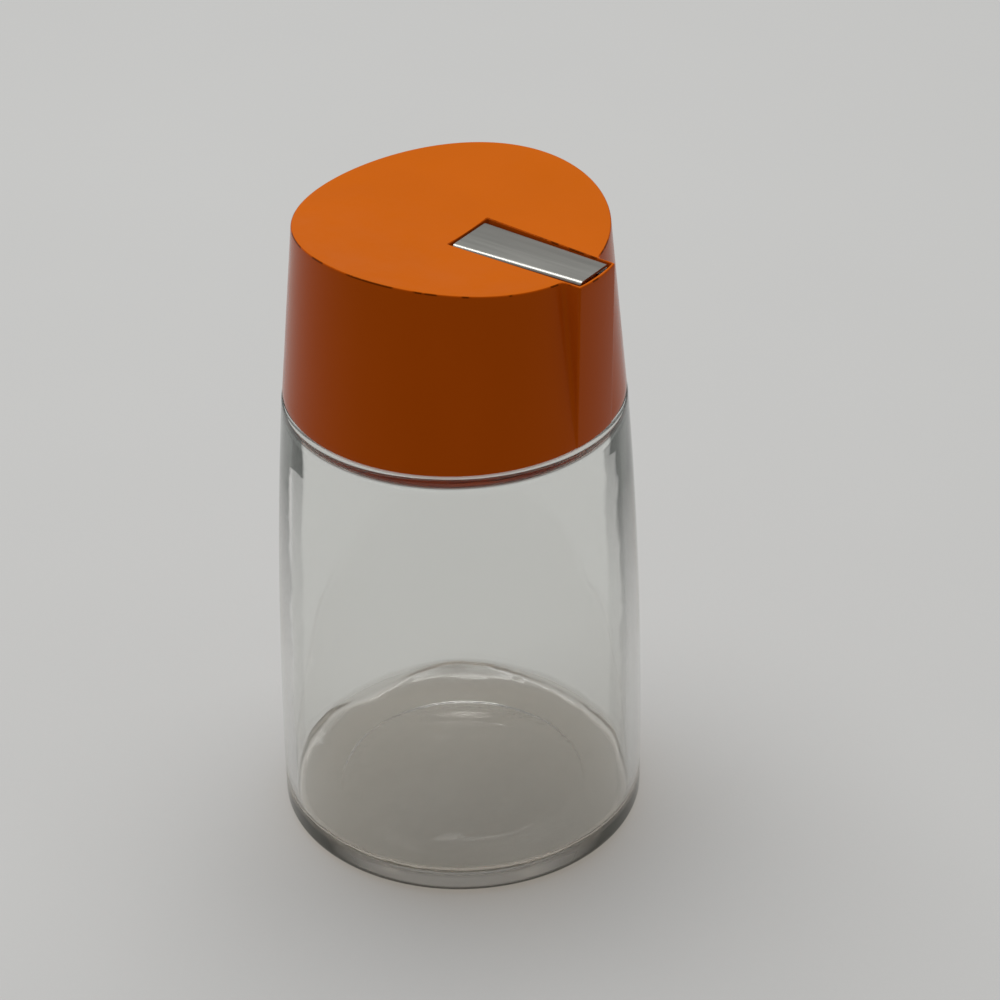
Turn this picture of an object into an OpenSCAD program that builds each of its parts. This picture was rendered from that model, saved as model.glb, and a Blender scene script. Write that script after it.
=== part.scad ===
// Sugar dispenser with a gravity flap: glass jar, screw lid with square spout, pressed flap and hinge pin.
// Millimetres. +Z is up, the spout points along +X, and the origin is the centre of the base's rest plane.

/* [Jar] */
// Widest radius of the glass body
body_r = 40.8; // [39.6:0.1:44]
// Height above the table at which the body is widest
widest_z = 13; // [8:0.5:20]
// Radius of the long arc that draws the body in towards the shoulder
side_arc_r = 1220; // [1000:10:4000]
// Height of the flat shoulder under the lid
shoulder_z = 106.8; // [98:0.1:125]
// Rounding of the shoulder's outer edge
shoulder_round = 1.2; // [0.4:0.1:1.8]
// Rounding of the heel
heel_round = 2.5; // [1:0.1:4]
// Wall of the glass body
glass_wall = 2.7; // [2:0.1:4]
// Thickness of the glass floor at its edge
floor_t = 4.8; // [4:0.1:9]
// Rounding between the wall and the floor, inside
floor_round = 1.8; // [1:0.1:9]
// Rise of the hollow under the base
pushup_h = 1.5; // [0.6:0.1:2.4]
// Width of the ring that the jar stands on
rest_ring_w = 9.5; // [4:0.1:12]

/* [Neck] */
// Outer radius of the glass neck
neck_r = 33; // [31.5:0.1:33.4]
// Wall of the glass neck
neck_wall = 2.8; // [2.2:0.1:3.6]
// Height of the neck above the shoulder
neck_h = 14.5; // [11:0.1:18]
// Rounding from the glass shoulder into the neck, inside
throat_round = 1.8; // [1:0.1:2.6]
// Rounding of the mouth's rim
mouth_round = 1.1; // [0.5:0.1:1.1]

/* [Lid] */
// Outer radius of the lid at its rim
lid_rim_r = 37; // [36.6:0.1:38]
// Loss of radius for each millimetre of height
lid_taper = 0.0892; // [0.06:0.001:0.1]
// Gap between the lid's rim and the jar's shoulder
rim_gap = 0.55; // [0.2:0.05:1.5]
// Height of the lid from its rim to the lowest line of its trough-shaped top
lid_h = 38.65; // [36:0.05:48]
// Radius of the trough in the lid's top
trough_r = 160; // [120:1:260]
// Wall of the lid's skirt and top
lid_wall = 2; // [1.6:0.1:2.4]
// Radial clearance between the neck and the lid's bore, which the threads fill
thread_gap = 1.2; // [1:0.05:1.5]
// Gap between the jar's mouth and the ribs that it stops against
seat_gap = 0.2; // [0.1:0.05:0.5]
// Number of seat ribs inside the lid
rib_count = 12; // [8:1:16]
// Thickness of a seat rib
rib_t = 1.6; // [1:0.1:2.4]

/* [Spout] */
// Distance from the lid's axis to the spout's front at the lid's top; the front is round about that axis
spout_r = 37.75; // [37.5:0.05:39]
// The same distance at the spout's foot, level with the lid's rim
spout_foot_r = 37.1; // [37:0.05:38.5]
// Half width of the spout at the lid's top
spout_half_w = 6.3; // [6.2:0.05:8]
// Half width of the spout at its foot
spout_foot_half_w = 6.45; // [6.3:0.05:8.2]
// Thickness of the lip in front of the slot
front_lip = 0.6; // [0.4:0.05:0.9]
// Distance from the lid's axis to the slot's inner end
slot_start = 4.3; // [3:0.1:5]
// Half width of the slot at its inner end
slot_half_w = 6.9; // [6.7:0.05:7.2]
// Half width of the slot at its outer end
slot_end_half_w = 5.75; // [5.5:0.05:5.8]
// Wall of the housing beside the slot
housing_wall = 0.6; // [0.5:0.05:1.2]
// Height of the chute's housing below the lid's top
housing_h = 10; // [9:0.1:14]
// Half width of the chute, which leaves a ledge on each side for the flap to rest on
chute_half_w = 4.5; // [4.2:0.05:4.6]

/* [Flap] */
// Width of the flap at its inner end
flap_w = 12.4; // [12:0.05:12.6]
// Width of the flap at its outer end
flap_end_w = 10.1; // [9.8:0.05:10.4]
// Length of the flap
flap_l = 31.85; // [30.5:0.05:32]
// Distance from the slot's inner end to the flap's
flap_end_gap = 0.5; // [0.45:0.05:1]
// Depth of the flap's top below the lid's top, at the flap's inner end
flap_drop = 0.25; // [0.1:0.05:0.8]
// Rise of the flap's top towards its outer end, in degrees
flap_rise = 1.2; // [0:0.1:1.5]
// Thickness of the flap's sheet
sheet_t = 0.5; // [0.4:0.05:0.7]
// Outer bend radius along the flap's sides
bend_r = 1; // [0.8:0.05:1.3]
// Height of the flap's bent sides at its inner end
flap_side_h = 2.6; // [2.2:0.05:3]
// Gap between the flap's sides and the ledge below them
rest_gap = 0.15; // [0.1:0.05:0.3]
// Largest opening angle of the flap, in degrees
flap_open = 70; // [55:1:75]

/* [Hinge] */
// Radius of the hinge pin
pin_r = 0.8; // [0.6:0.05:0.9]
// Distance from the flap's inner end to the hinge pin
tail_l = 5.25; // [5:0.05:5.4]
// Depth of the hinge pin's axis below the flap's top
pin_drop = 1.75; // [1.6:0.05:2]
// Radial running clearance of the flap on the pin
pin_gap = 0.05; // [0.02:0.01:0.1]
// Radial gap of the pin in the lid's cross bore
seat_pin_gap = 0.02; // [0.01:0.01:0.05]
// Distance that the pin reaches into the lid beside the slot
pin_bite = 2; // [1.2:0.05:2.4]
// Wall round the pin in the two bosses that hold its ends
boss_wall = 1.4; // [1:0.05:2]
// Radius of the flap's hinge ears
ear_r = 2; // [1.8:0.05:2.2]
// Clearance round the ears and the tail as the flap turns
turn_gap = 0.45; // [0.3:0.05:0.6]
// Wall between the tail's well and the chute, whose upper edge stops the open flap
stop_wall = 1.5; // [1:0.1:2]

/* [Hidden] */
$fn = 180;
bend_fn = 64;
pin_fn = 48;
// overlap of joined outlines, and reach of a cutter past what it cuts
eps = 0.01;
past = 1;

// jar
fine_fn = 1440;
side_fn = 5760;
side_centre_r = body_r - side_arc_r;
shoulder_centre_r = side_r(shoulder_z - shoulder_round) - shoulder_round;
mouth_z = shoulder_z + neck_h;
neck_inner_r = neck_r - neck_wall;
heel_centre_r = side_r(heel_round) - heel_round;
pushup_r = heel_centre_r - rest_ring_w;
pushup_arc_r = (pushup_r * pushup_r + pushup_h * pushup_h) / (2 * pushup_h);
hollow_top_z = shoulder_z - glass_wall;
crown_r = neck_inner_r + throat_round;
crown_round = side_r(hollow_top_z) - glass_wall - crown_r;
crown_centre_r = side_r(hollow_top_z - crown_round) - glass_wall - crown_round;

// lid
rim_z = shoulder_z + rim_gap;
top_z = rim_z + lid_h;
bore_r = neck_r + thread_gap;
seat_z = mouth_z + seat_gap;
crest_z = top_z + trough_r - sqrt(trough_r * trough_r - lid_rim_r * lid_rim_r) + past;
rib_inner_r = neck_inner_r + neck_wall / 4;

// slot, flap and hinge
slot_end_r = spout_r - front_lip;
housing_half_w = slot_half_w + housing_wall;
channel_x = sqrt(pow(rib_inner_r - past, 2) - pow(housing_half_w, 2));
flap_top_z = top_z - flap_drop;
ledge_z = flap_top_z - flap_side_h - rest_gap;
chute_end_r = slot_end_r - slot_end_half_w + chute_half_w;
housing_z = top_z - housing_h;
flap_start = slot_start + flap_end_gap;
pin_x = flap_start + tail_l;
pin_z = flap_top_z - pin_drop;
tail_sweep_r = sqrt(tail_l * tail_l + pin_drop * pin_drop);
side_below_pin = flap_side_h - pin_drop;
// the upper edge of the chute's rear wall stops the flap's tail at the largest opening
stop_drop = ear_r + turn_gap;
stop_along = (stop_drop - side_below_pin * cos(flap_open)) / sin(flap_open);
stop_x = pin_x - stop_along * cos(flap_open) + side_below_pin * sin(flap_open) + rest_gap;
stop_top_z = pin_z - stop_drop;
well_floor_z = pin_z - tail_sweep_r - turn_gap;
pin_l = 2 * (slot_half_w + pin_bite);
flap_end_r = flap_start + flap_l;
flap_taper = atan((flap_w - flap_end_w) / 2 / flap_l);

function side_r(z) = side_centre_r + sqrt(side_arc_r * side_arc_r - (z - widest_z) * (z - widest_z));
function lid_r(z) = lid_rim_r - lid_taper * (z - rim_z);
function spout_face_r(z) = spout_foot_r + (spout_r - spout_foot_r) * (z - rim_z) / lid_h;
function slot_side_w(x) =
    slot_half_w + (slot_end_half_w - slot_half_w) * (x - slot_start) / (slot_end_r - slot_start);
function spout_side_w(z) = spout_foot_half_w + (spout_half_w - spout_foot_half_w) * (z - rim_z) / lid_h;

// A box given by its lowest and highest corners
module box(low, high) {
    translate(low) cube(high - low);
}

// Half of the region inside the body's side arc, between two heights and moved in by a wall
module side_region(low_z, high_z, wall) {
    intersection() {
        translate([side_centre_r, widest_z]) circle(r = side_arc_r - wall, $fn = side_fn);
        translate([0, low_z]) square([body_r, high_z - low_z]);
    }
}

module jar_outline() {
    // heel
    translate([heel_centre_r, heel_round]) circle(r = heel_round);
    square([heel_centre_r, heel_round + eps]);
    // side and shoulder
    side_region(heel_round, shoulder_z - shoulder_round, 0);
    translate([shoulder_centre_r, shoulder_z - shoulder_round]) circle(r = shoulder_round);
    translate([0, shoulder_z - shoulder_round - eps]) square([shoulder_centre_r, shoulder_round + eps]);
    // neck and mouth
    translate([0, shoulder_z - eps]) square([neck_r, neck_h - mouth_round + eps]);
    translate([neck_r - mouth_round, mouth_z - mouth_round]) circle(r = mouth_round);
    translate([0, mouth_z - mouth_round - eps]) square([neck_r - mouth_round, mouth_round + eps]);
}

module jar_hollow_outline() {
    floor_corner_r = side_r(floor_t + floor_round) - glass_wall - floor_round;
    // floor and side
    translate([floor_corner_r, floor_t + floor_round]) circle(r = floor_round);
    translate([0, floor_t]) square([floor_corner_r, floor_round + eps]);
    side_region(floor_t + floor_round, hollow_top_z - crown_round, glass_wall);
    // crown under the shoulder, then the throat that rounds into the neck
    translate([crown_centre_r, hollow_top_z - crown_round]) circle(r = crown_round);
    translate([0, hollow_top_z - crown_round - eps]) square([crown_centre_r, crown_round + eps]);
    difference() {
        translate([0, hollow_top_z - eps]) square([crown_r, throat_round + eps]);
        translate([crown_r, hollow_top_z + throat_round]) circle(r = throat_round);
    }
    // neck and rounded mouth
    translate([0, hollow_top_z + throat_round - eps]) square([neck_inner_r, mouth_z]);
    difference() {
        translate([0, mouth_z - mouth_round]) square([neck_inner_r + mouth_round, mouth_round + past]);
        translate([neck_inner_r + mouth_round, mouth_z - mouth_round]) circle(r = mouth_round);
    }
}

module glass_jar() {
    color([0.85, 0.9, 0.88, 0.45])
    rotate_extrude() {
        intersection() {
            difference() {
                jar_outline();
                jar_hollow_outline();
                // hollow under the base
                translate([0, pushup_h - pushup_arc_r]) circle(r = pushup_arc_r, $fn = fine_fn);
            }
            square([body_r + past, mouth_z + past]);
        }
    }
}

// Everything below the trough-shaped top, moved down by a wall
module under_trough(wall) {
    reach = spout_r + past;
    difference() {
        box([-reach, -reach, rim_z - past], [reach, reach, crest_z + past]);
        translate([-reach - past, 0, top_z + trough_r])
            rotate([0, 90, 0]) cylinder(r = trough_r + wall, h = 2 * (reach + past), $fn = fine_fn);
    }
}

// Cone that the skirt follows, from one height to another, moved in by a wall
module skirt_cone(low_z, high_z, wall) {
    translate([0, 0, low_z])
        cylinder(r1 = lid_r(low_z) - wall, r2 = lid_r(high_z) - wall, h = high_z - low_z);
}

// The spout between two heights: its sides draw in towards the top, and its front is part of a cone
module spout_body(start_x, low_z, high_z) {
    low_w = spout_side_w(low_z);
    high_w = spout_side_w(high_z);
    intersection() {
        translate([start_x, 0, 0]) rotate([90, 0, 90]) linear_extrude(spout_r + past - start_x)
            polygon([[-low_w, low_z], [low_w, low_z], [high_w, high_z], [-high_w, high_z]]);
        translate([0, 0, low_z])
            cylinder(r1 = spout_face_r(low_z), r2 = spout_face_r(high_z), h = high_z - low_z);
    }
}

// Upright block from one distance to an end that is round about the lid's axis
module round_ended_box(start_x, end_r, half_w, low_z, high_z) {
    intersection() {
        box([start_x, -half_w, low_z], [end_r + past, half_w, high_z]);
        translate([0, 0, low_z - past]) cylinder(r = end_r, h = high_z - low_z + 2 * past);
    }
}

module lid_outside() {
    intersection() {
        union() {
            skirt_cone(rim_z, crest_z, 0);
            spout_body(bore_r / 2, rim_z, crest_z);
        }
        under_trough(0);
    }
}

module lid_inside() {
    // threaded bore round the neck
    translate([0, 0, rim_z - past]) cylinder(r = bore_r, h = seat_z - rim_z + past);
    // chamber above the seat
    intersection() {
        translate([0, 0, seat_z - eps]) cylinder(r = bore_r, h = crest_z - seat_z);
        skirt_cone(seat_z - eps, crest_z, lid_wall);
        under_trough(lid_wall);
    }
}

module seat_ribs() {
    intersection() {
        union() {
            for (i = [0 : rib_count - 1]) rotate((i + 0.5) * 360 / rib_count)
                box([rib_inner_r, -rib_t / 2, seat_z], [lid_rim_r, rib_t / 2, crest_z]);
        }
        skirt_cone(rim_z, crest_z, lid_wall / 2);
        under_trough(lid_wall / 2);
    }
}

module chute_housing() {
    boss_r = pin_r + boss_wall;
    intersection() {
        union() {
            // walls round the slot, inside the skirt
            box([slot_start - stop_wall, -housing_half_w, housing_z],
                [lid_rim_r, housing_half_w, crest_z]);
            // side walls of the spout, down to the seat
            spout_body(channel_x - past, seat_z, crest_z);
            // boss round each end of the pin
            box([pin_x - boss_r, -pin_l / 2, pin_z - boss_r], [pin_x + boss_r, pin_l / 2, crest_z]);
        }
        under_trough(lid_wall / 2);
        skirt_and_spout_core();
    }
}

// Keeps the housing's walls inside the skin of skirt and spout
module skirt_and_spout_core() {
    skirt_cone(rim_z, crest_z, lid_wall / 2);
    spout_body(bore_r / 2, rim_z, crest_z);
}

// Upright block between the slot's two sides, from its inner end to a distance
module slot_block(end_x, low_z) {
    far_x = spout_r + past;
    far_w = slot_side_w(far_x);
    intersection() {
        translate([0, 0, housing_z]) linear_extrude(crest_z - housing_z)
            polygon([[slot_start, -slot_half_w], [far_x, -far_w], [far_x, far_w], [slot_start, slot_half_w]]);
        box([slot_start - past, -slot_half_w - past, low_z], [end_x, slot_half_w + past, crest_z + past]);
    }
}

module slot_and_chute() {
    // recess for the flap, narrower towards the front
    intersection() {
        slot_block(spout_r, ledge_z);
        round_ended_box(0, slot_end_r, slot_half_w + past, ledge_z - past, crest_z);
    }
    // chute through the housing, between the ledges
    round_ended_box(stop_x + stop_wall, chute_end_r, chute_half_w, housing_z - past, crest_z);
    // channel behind the spout's front wall, down to the seat
    round_ended_box(channel_x - 2 * past, chute_end_r, chute_half_w, seat_z, ledge_z + eps);
    // room above the rear wall for the flap's ears
    slot_block(pin_x + stop_drop, stop_top_z);
    // well for the flap's tail
    slot_block(stop_x, well_floor_z);
}

// Cross bore through both bosses, that the pin is pressed into from inside the lid
module pin_bore() {
    translate([pin_x, pin_l / 2 + past, pin_z]) rotate([90, 0, 0])
        cylinder(r = pin_r + seat_pin_gap, h = pin_l + 2 * past, $fn = pin_fn);
}

module lid() {
    color([0.78, 0.38, 0.05])
    difference() {
        union() {
            difference() {
                lid_outside();
                lid_inside();
            }
            seat_ribs();
            chute_housing();
        }
        slot_and_chute();
        pin_bore();
    }
}

// The flap's bar on one side of its middle line and past it: moved in by a sheet, and rounded along its edge
module flap_half(side, inset) {
    round_r = bend_r - inset;
    translate([flap_start, side * flap_w / 2, flap_top_z]) rotate([0, -flap_rise, 0])
        rotate(-side * flap_taper) rotate([90, 0, 90])
            translate([-side * inset, -inset, -flap_l]) linear_extrude(3 * flap_l) {
                // bend, then the parts below it and beside it
                translate([-side * round_r, -round_r]) circle(r = round_r, $fn = bend_fn);
                translate([-side * flap_w / 2, -flap_side_h - round_r])
                    square([flap_w, 2 * flap_side_h], center = true);
                translate([-side * (round_r + flap_w / 2), -flap_side_h])
                    square([flap_w, 2 * flap_side_h], center = true);
            }
}

// Bar that the flap is bent round, narrower and higher towards its outer end
module flap_bar(inset) {
    intersection() {
        flap_half(1, inset);
        flap_half(-1, inset);
    }
}

module flap() {
    side_low_z = flap_top_z - flap_side_h;
    crown_z = top_z + past;
    color([0.72, 0.73, 0.71])
    difference() {
        intersection() {
            flap_bar(0);
            round_ended_box(flap_start, flap_end_r, flap_w, pin_z - ear_r - past, crown_z);
            // sides down to one height, with a round ear at the pin
            union() {
                box([0, -flap_w, side_low_z], [spout_r, flap_w, crown_z]);
                translate([pin_x, flap_w, pin_z]) rotate([90, 0, 0])
                    cylinder(r = ear_r, h = 2 * flap_w, $fn = bend_fn);
            }
        }
        // hollow of the channel
        flap_bar(sheet_t);
        // bore for the pin
        translate([pin_x, flap_w, pin_z]) rotate([90, 0, 0])
            cylinder(r = pin_r + pin_gap, h = 2 * flap_w, $fn = pin_fn);
    }
}

module hinge_pin() {
    color([0.6, 0.6, 0.6])
    translate([pin_x, pin_l / 2, pin_z]) rotate([90, 0, 0]) cylinder(r = pin_r, h = pin_l, $fn = pin_fn);
}

glass_jar();
lid();
flap();
hinge_pin();
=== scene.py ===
"""Looks of a sugar dispenser: pressed glass jar, orange screw lid, steel flap and hinge pin, on a pale floor."""

import math

import bmesh
import bpy
import numpy as np
from mathutils import Matrix, Vector, noise


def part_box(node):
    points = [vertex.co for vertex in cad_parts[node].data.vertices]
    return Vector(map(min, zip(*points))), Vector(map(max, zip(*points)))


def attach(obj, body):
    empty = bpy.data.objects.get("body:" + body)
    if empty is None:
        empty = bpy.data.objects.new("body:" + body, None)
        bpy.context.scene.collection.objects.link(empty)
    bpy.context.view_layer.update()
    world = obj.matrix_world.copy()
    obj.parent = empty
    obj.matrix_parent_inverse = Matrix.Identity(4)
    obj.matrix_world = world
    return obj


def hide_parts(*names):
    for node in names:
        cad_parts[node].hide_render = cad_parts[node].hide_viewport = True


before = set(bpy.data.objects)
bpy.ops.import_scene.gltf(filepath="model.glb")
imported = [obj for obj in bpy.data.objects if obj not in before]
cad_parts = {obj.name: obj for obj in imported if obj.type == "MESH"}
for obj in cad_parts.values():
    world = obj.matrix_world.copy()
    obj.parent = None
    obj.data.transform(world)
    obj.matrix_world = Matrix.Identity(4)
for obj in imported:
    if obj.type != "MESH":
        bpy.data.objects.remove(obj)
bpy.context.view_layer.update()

bl_info = {
    "name": "Sugar dispenser",
    "version": (1, 0, 0),
    "blender": (4, 5, 0),
    "location": "3D View > Sidebar > Dispenser",
    "description": "Builds a glass sugar dispenser with a screw lid and a pouring flap",
    "category": "Object",
}

MM = 0.001
_, JAR_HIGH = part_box("glass_jar")
LID_LOW, LID_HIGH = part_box("lid")
FLAP_LOW, FLAP_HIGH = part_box("flap")
PIN_LOW, PIN_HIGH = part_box("hinge_pin")
PIN_X, PIN_Z = (PIN_LOW.x + PIN_HIGH.x) / 2, (PIN_LOW.z + PIN_HIGH.z) / 2
PIN_R = (PIN_HIGH.x - PIN_LOW.x) / 2


def length(name, description, default):
    return bpy.props.FloatProperty(name=name, description=description, default=default, unit="LENGTH", precision=5)


def colour(name, description, default):
    return bpy.props.FloatVectorProperty(
        name=name, description=description, default=default, size=3, subtype="COLOR", min=0, max=1
    )


def number(name, description, default):
    return bpy.props.FloatProperty(name=name, description=description, default=default)


def count(name, description, default):
    return bpy.props.IntProperty(name=name, description=description, default=default, min=3)


# direction of the side on which the jar's painted shade bands are wider
DARK_BAND_SIDE = (0.797, 0.605, 0)
# where the painted shade and the dust film on the jar's inner floor end: distance from the axis, and heights below and
# above it
FLOOR_EDGE = (36.0 * MM, 37.4 * MM)
FLOOR_LOW = (2.6 * MM, 3.4 * MM)
FLOOR_HIGH = (9 * MM, 13 * MM)
# share of the dark tint on it, which is painted shade
FLOOR_PAINTED_SHADE = 0.5
# ragged step under the base, where the hollow meets the ring that the jar stands on
STEP_R = 26.8 * MM
STEP_GRAIN = 0.14 * MM
# waves of the inner edge of the jar's floor: height, direction and width, in metres and degrees
FLOOR_WAVES = ((2.6 * MM, 127, 22), (-1.8 * MM, 162, 15), (2.0 * MM, 194, 17), (-0.7 * MM, 77, 20))

# screw thread of neck and lid: rise in a turn, turns and half width
THREAD_PITCH = 4.2 * MM
THREAD_TURNS = 1.6
THREAD_HALF_W = 1.3 * MM


# ---------------------------------------------------------------- settings


class JarSettings(bpy.types.PropertyGroup):
    """Sizes and colours of the glass jar"""

    body_r: length("Body radius", "Widest radius of the body", JAR_HIGH.x)
    widest_z: length("Widest height", "Height at which the body is widest", 13 * MM)
    side_arc_r: length("Side arc", "Radius of the long arc of the side", 1220 * MM)
    shoulder_z: length("Shoulder", "Height of the flat shoulder under the lid", 106.8 * MM)
    shoulder_round: length("Shoulder rounding", "Rounding of the shoulder's edge", 1.2 * MM)
    heel_round: length("Heel rounding", "Rounding of the heel", 2.5 * MM)
    wall: length("Wall", "Wall of the body", 2.7 * MM)
    floor_t: length("Floor", "Thickness of the floor", 4.8 * MM)
    floor_round: length("Floor rounding", "Rounding between wall and floor, inside", 1.8 * MM)
    pushup_h: length("Push-up", "Rise of the hollow under the base", 1.5 * MM)
    pushup_step: length("Push-up step", "Height of the step round the hollow under the base", 0.2 * MM)
    pushup_r: length("Push-up radius", "Radius of the hollow under the base", 28.75 * MM)
    neck_r: length("Neck radius", "Outer radius of the neck", 33 * MM)
    neck_wall: length("Neck wall", "Wall of the neck", 2.8 * MM)
    mouth_z: length("Mouth", "Height of the mouth's rim", JAR_HIGH.z)
    mouth_round: length("Mouth rounding", "Rounding of the mouth's rim", 1.1 * MM)
    throat_round: length("Throat rounding", "Rounding from the shoulder into the neck, inside", 0.9 * MM)
    shoulder_t: length("Shoulder thickness", "Thickness of the glass at the shoulder", 3.2 * MM)
    crown_round: length("Inner shoulder rounding", "Rounding from the shoulder into the wall, inside", 1.8 * MM)
    thread_pitch: length("Thread pitch", "Rise of the thread in one turn", THREAD_PITCH)
    thread_h: length("Thread height", "Height of the thread ridge", 0.52 * MM)
    segments: count("Segments", "Faces around the jar", 256)
    tint: colour("Tint", "Colour that a thick stretch of the glass takes on", (0.82, 0.785, 0.74))
    tint_density: number("Tint density", "How fast thick glass takes on the tint", 36)
    # painted shade: colour of the dark bands on the wall, of the heel and of the inner floor
    edge_shade_tint: colour("Edge tint", "Colour of the wall seen along its thickness", (0.045, 0.052, 0.046))


class LidSettings(bpy.types.PropertyGroup):
    """Sizes and colours of the lid"""

    rim_z: length("Rim height", "Height of the lid's rim", LID_LOW.z)
    rim_r: length("Rim radius", "Outer radius at the rim", LID_HIGH.y)
    taper: number("Taper", "Loss of radius for each unit of height", 0.0892)
    top_z: length("Top height", "Height of the lowest line of the trough", LID_LOW.z + 38.65 * MM)
    trough_r: length("Trough radius", "Radius of the trough in the top", 160 * MM)
    wall: length("Wall", "Wall of skirt and top", 2 * MM)
    bore_r: length("Bore radius", "Radius of the threaded bore", 34.2 * MM)
    seat_z: length("Seat height", "Height at which the lid stops on the mouth", JAR_HIGH.z + 0.2 * MM)
    edge_round: length("Edge rounding", "Rounding of the outer edges", 0.35 * MM)
    spout_r: length("Spout reach", "Distance from the axis to the spout's front, at the top", 37.75 * MM)
    spout_foot_r: length("Spout foot reach", "The same distance at the rim", 37.1 * MM)
    spout_half_w: length("Spout half width", "Half width of the spout at the top", 6.3 * MM)
    spout_foot_half_w: length("Spout foot half width", "Half width of the spout at the rim", 6.45 * MM)
    spout_corner: length("Spout corners", "Rounding of the spout's upright edges", 0.35 * MM)
    spout_fillet: length("Spout fillet", "Rounding between spout and skirt", 0.95 * MM)
    slot_half_w: length("Slot half width", "Half width of the slot at its inner end", 6.9 * MM)
    slot_end_half_w: length("Slot end half width", "Half width of the slot at its outer end", 5.75 * MM)
    slot_start: length("Slot start", "Distance from the axis to the slot's inner end", 4.3 * MM)
    front_lip: length("Front lip", "Thickness of the lip in front of the slot", 0.6 * MM)
    lip_round: length("Lip rounding", "Rounding of the slot's upper edge", 0.2 * MM)
    ledge_drop: length("Ledge depth", "Depth of the ledge under the flap below the pin's axis", 1 * MM)
    chute_half_w: length("Chute half width", "Half width of the chute between the ledges", 4.5 * MM)
    chute_end_r: length("Chute end", "Distance from the axis to the chute's outer end", 35.9 * MM)
    housing_half_w: length("Housing half width", "Half width of the housing round the slot", 7.5 * MM)
    housing_z: length("Housing height", "Height of the housing's underside", LID_LOW.z + 28.65 * MM)
    rib_count: count("Seat ribs", "Number of ribs that stop the lid on the mouth", 12)
    rib_t: length("Rib thickness", "Thickness of a seat rib", 1.6 * MM)
    rib_inner_r: length("Rib inner radius", "Distance from the axis to a rib's inner edge", 30.9 * MM)
    thread_h: length("Thread height", "Height of the thread ridge in the bore", 0.55 * MM)
    side_colour: colour("Side colour", "Glossy moulded skirt", (0.47, 0.072, 0.001))
    # paler and yellower than the side colour: painted light from above; the satin finish is real
    lit_top_colour: colour("Top colour", "Satin moulded top", (0.55, 0.110, 0.001))


class FlapSettings(bpy.types.PropertyGroup):
    """Sizes and colours of the flap and its pin"""

    half_w: length("Half width", "Half width at the inner end", FLAP_HIGH.y)
    end_half_w: length("End half width", "Half width at the outer end", 5.05 * MM)
    top_z: length("Top height", "Height of the top at the inner end", LID_LOW.z + 38.4 * MM)
    rise: number("Rise", "Slope of the top up to the outer end, in degrees", 1.2)
    sheet_t: length("Sheet", "Thickness of the sheet", 0.5 * MM)
    bend_r: length("Bend radius", "Outer bend radius along the sides", 1 * MM)
    side_h: length("Side height", "Height of the bent sides", 2.6 * MM)
    ear_r: length("Ear radius", "Radius of the hinge ears", 2 * MM)
    pin_gap: length("Pin gap", "Running clearance of the ears on the pin", 0.05 * MM)
    steel: colour("Steel", "Brushed sheet steel", (0.44, 0.437, 0.405))


class StageSettings(bpy.types.PropertyGroup):
    """Floor, lamps and camera"""

    floor_size: length("Floor size", "Width of the floor", 6.0)
    floor_colour: colour("Floor colour", "Pale matt board", (0.57, 0.57, 0.56))
    camera_distance: length("Camera distance", "From the aim point to the camera", 768.03 * MM)
    aim_z: length("Aim height", "Height of the point that the camera aims at", 77.52 * MM)
    azimuth: number("Azimuth", "Direction of view about the upright axis, in degrees", 37.2)
    elevation: number("Elevation", "Downward tilt of the view, in degrees", 33.06)
    pan: number("Pan", "Turn of the camera past the aim point, in degrees", 0.836)
    roll: number("Roll", "Roll of the camera, in degrees", -0.836)
    lens: number("Lens", "Focal length for a 36 mm sensor, in millimetres", 126.0)


# ---------------------------------------------------------------- meshes


def arc(centre, radius, start, end, steps):
    """Points on an arc, angles in degrees"""
    angles = np.radians(np.linspace(start, end, steps + 1))
    return [(centre[0] + radius * math.cos(a), centre[1] + radius * math.sin(a)) for a in angles]


def line(start, end, steps):
    """Evenly spaced points of a straight line, both ends kept"""
    return [tuple(p) for p in np.linspace(start, end, steps + 1)]


def add_piece(name, mesh):
    piece = bpy.data.objects.new(name, mesh)
    bpy.context.scene.collection.objects.link(piece)
    return piece


def skin_rings(name, rings, poles=()):
    """Closed skin over rings of equally many points. poles are its first and last points, if it has them"""
    rings = np.asarray(rings, float)
    levels, around, _ = rings.shape
    points = [tuple(p) for p in rings.reshape(-1, 3)]
    faces = []
    last = levels - 1 if poles else levels
    for level in range(last):
        above = (level + 1) % levels
        for i in range(around):
            j = (i + 1) % around
            faces.append((level * around + i, level * around + j, above * around + j, above * around + i))
    if poles:
        first, final = len(points), len(points) + 1
        points += [tuple(p) for p in poles]
        top = (levels - 1) * around
        for i in range(around):
            j = (i + 1) % around
            faces.append((first, j, i))
            faces.append((final, top + i, top + j))
    mesh = bpy.data.meshes.new(name)
    mesh.from_pydata(points, [], faces)
    face_outwards(mesh)
    return mesh


def face_outwards(mesh):
    work = bmesh.new()
    work.from_mesh(mesh)
    bmesh.ops.recalc_face_normals(work, faces=work.faces)
    work.to_mesh(mesh)
    work.free()


def smooth_below(mesh, degrees):
    """Smooth shading, broken where faces meet at more than an angle"""
    limit = math.radians(degrees)
    work = bmesh.new()
    work.from_mesh(mesh)
    bmesh.ops.remove_doubles(work, verts=work.verts, dist=2e-7)
    for face in work.faces:
        face.smooth = True
    for edge in work.edges:
        edge.smooth = len(edge.link_faces) == 2 and edge.calc_face_angle(0) < limit
    work.to_mesh(mesh)
    work.free()


def box_mesh(name, low, high, far_share=1.0):
    """Box given by its lowest and highest corners, with its far end narrowed to a share of its width"""
    corners = [
        (x, y * share, z)
        for x, share in ((low[0], 1.0), (high[0], far_share))
        for y in (low[1], high[1])
        for z in (low[2], high[2])
    ]
    faces = [(0, 1, 3, 2), (4, 6, 7, 5), (0, 4, 5, 1), (2, 3, 7, 6), (0, 2, 6, 4), (1, 5, 7, 3)]
    mesh = bpy.data.meshes.new(name)
    mesh.from_pydata(corners, [], faces)
    face_outwards(mesh)
    return mesh


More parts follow.
